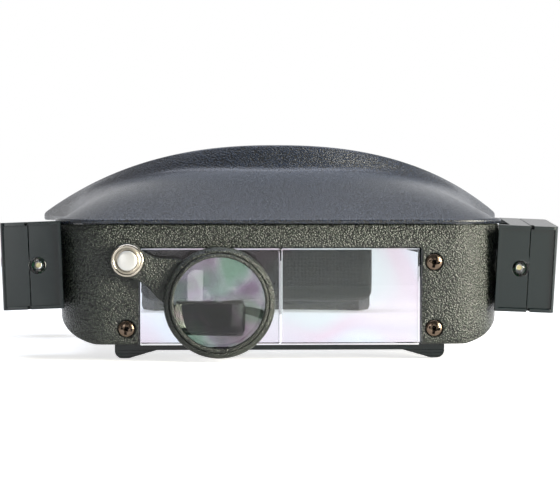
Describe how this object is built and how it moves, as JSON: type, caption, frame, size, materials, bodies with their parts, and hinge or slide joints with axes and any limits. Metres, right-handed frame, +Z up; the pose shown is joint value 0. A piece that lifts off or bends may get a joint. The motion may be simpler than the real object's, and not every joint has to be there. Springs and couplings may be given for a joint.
{
  "type": "head visor magnifier",
  "caption": "Head visor magnifier with hinged hood, binocular lens plate, flip-down lens, swinging loupe, side lamps and a knob-adjusted headband.",
  "frame": {"origin": "centre of the outline seen from above, on the table plane under the flip lens tabs and the rear cradle", "axes": "+X to the right seen from the front, +Y from the lens plate back to the rear knob, +Z up"},
  "size_m": [0.2246, 0.2822, 0.0774],
  "materials": {
    "moulded": "satin, leather grain",
    "smooth_plastic": "satin",
    "clear_acrylic": "polished",
    "bright_metal": "bright nickel",
    "dark_metal": "black nickel",
    "foam": "matte",
    "strap_plastic": "matte",
    "circuit": "solder mask",
    "led": "clear",
    "rubber": "matte"
  },
  "bodies": {
    "headband": {"brow_band": "moulded", "brow_pad": "foam", "strap_left": "strap_plastic", "strap_right": "strap_plastic", "strap_rivet_left": "bright_metal", "strap_rivet_right": "bright_metal", "temple_bolt_left": "dark_metal", "temple_bolt_right": "dark_metal", "temple_washer_left": "rubber", "temple_washer_right": "rubber"},
    "visor": {"hood_shell": "moulded", "front_frame": "moulded", "lens_clamp": "smooth_plastic", "main_lens": "clear_acrylic", "frame_screw_left_low": "dark_metal", "frame_screw_right_low": "dark_metal", "frame_screw_right_high": "dark_metal", "loupe_rivet": "bright_metal", "loupe_cup_washer": "bright_metal", "loupe_push_nut": "bright_metal", "flip_pin_left": "bright_metal", "flip_pin_right": "bright_metal", "lamp_washer_left": "rubber", "lamp_washer_right": "rubber", "lamp_screw_left": "dark_metal", "lamp_screw_right": "dark_metal"},
    "flip": {"flip_frame": "smooth_plastic", "flip_lens": "clear_acrylic"},
    "loupe": {"loupe_arm": "moulded", "loupe_lens": "clear_acrylic", "loupe_retainer": "smooth_plastic"},
    "lamp_left": {"lamp_left_case": "smooth_plastic", "lamp_left_led": "led", "lamp_left_board": "circuit", "lamp_left_cell_1": "bright_metal", "lamp_left_cell_2": "bright_metal", "lamp_left_cell_clip": "bright_metal"},
    "lamp_left_lid": {"lamp_left_lid": "smooth_plastic"},
    "lamp_left_switch": {"lamp_left_switch": "rubber"},
    "temple_knob_left": {"temple_knob_left": "smooth_plastic"},
    "lamp_right": {"lamp_right_case": "smooth_plastic", "lamp_right_led": "led", "lamp_right_board": "circuit", "lamp_right_cell_1": "bright_metal", "lamp_right_cell_2": "bright_metal", "lamp_right_cell_clip": "bright_metal"},
    "lamp_right_lid": {"lamp_right_lid": "smooth_plastic"},
    "lamp_right_switch": {"lamp_right_switch": "rubber"},
    "temple_knob_right": {"temple_knob_right": "smooth_plastic"},
    "cradle": {"rear_housing": "moulded", "rear_cover": "smooth_plastic", "rear_pad": "foam"},
    "rear_knob": {"rear_knob": "smooth_plastic", "rear_pinion": "strap_plastic", "knob_screw": "dark_metal"}
  },
  "joints": [
    {"name": "visor_tilt", "type": "hinge", "parent": "headband", "child": "visor", "pos_m": [0, -0.0129, 0.031], "axis": [-1, 0, 0], "range_deg": [0, 55]},
    {"name": "flip_swing", "type": "hinge", "parent": "visor", "child": "flip", "pos_m": [0, -0.1217, 0.0426], "axis": [1, 0, 0], "range_deg": [0, 88]},
    {"name": "loupe_swing", "type": "hinge", "parent": "visor", "child": "loupe", "pos_m": [-0.0538, -0.1329, 0.0353], "axis": [0, -1, 0], "range_deg": [-40, 120]},
    {"name": "lamp_left_tilt", "type": "hinge", "parent": "visor", "child": "lamp_left", "pos_m": [-0.08135, -0.1149, 0.0333], "axis": [0.9993, 0, 0.0384], "range_deg": [-8, 13]},
    {"name": "lamp_left_lid_slide", "type": "slide", "parent": "lamp_left", "child": "lamp_left_lid", "axis": [-0.9993, 0, -0.0384], "range_m": [0, 0.012]},
    {"name": "lamp_left_switch_slide", "type": "slide", "parent": "lamp_left", "child": "lamp_left_switch", "axis": [-0.0384, 0.0175, 0.9991], "range_m": [0, 0.003]},
    {"name": "lamp_right_tilt", "type": "hinge", "parent": "visor", "child": "lamp_right", "pos_m": [0.08135, -0.1149, 0.0333], "axis": [0.9993, 0, -0.0384], "range_deg": [-13, 8]},
    {"name": "lamp_right_lid_slide", "type": "slide", "parent": "lamp_right", "child": "lamp_right_lid", "axis": [0.9993, 0, -0.0384], "range_m": [0, 0.012]},
    {"name": "lamp_right_switch_slide", "type": "slide", "parent": "lamp_right", "child": "lamp_right_switch", "axis": [0.0382, -0.0872, 0.9955], "range_m": [0, 0.003]},
    {"name": "temple_knob_left_turn", "type": "hinge", "parent": "headband", "child": "temple_knob_left", "pos_m": [-0.0873, -0.0129, 0.031], "axis": [-1, 0, 0], "range_deg": [0, 180]},
    {"name": "temple_knob_right_turn", "type": "hinge", "parent": "headband", "child": "temple_knob_right", "pos_m": [0.0873, -0.0129, 0.031], "axis": [1, 0, 0], "range_deg": [0, 180]},
    {"name": "rear_fit", "type": "slide", "parent": "headband", "child": "cradle", "axis": [0, 1, 0], "range_m": [-0.015, 0.01], "deforming": ["strap_left", "strap_right"]},
    {"name": "rear_knob_turn", "type": "hinge", "parent": "cradle", "child": "rear_knob", "pos_m": [0, 0.1251, 0.0188], "axis": [0, 1, 0], "range_deg": [-160, 110]}
  ],
  "couplings": [
    {"joint": "rear_knob_turn", "follows": "rear_fit", "rad_per_m": 178.57}
  ]
}
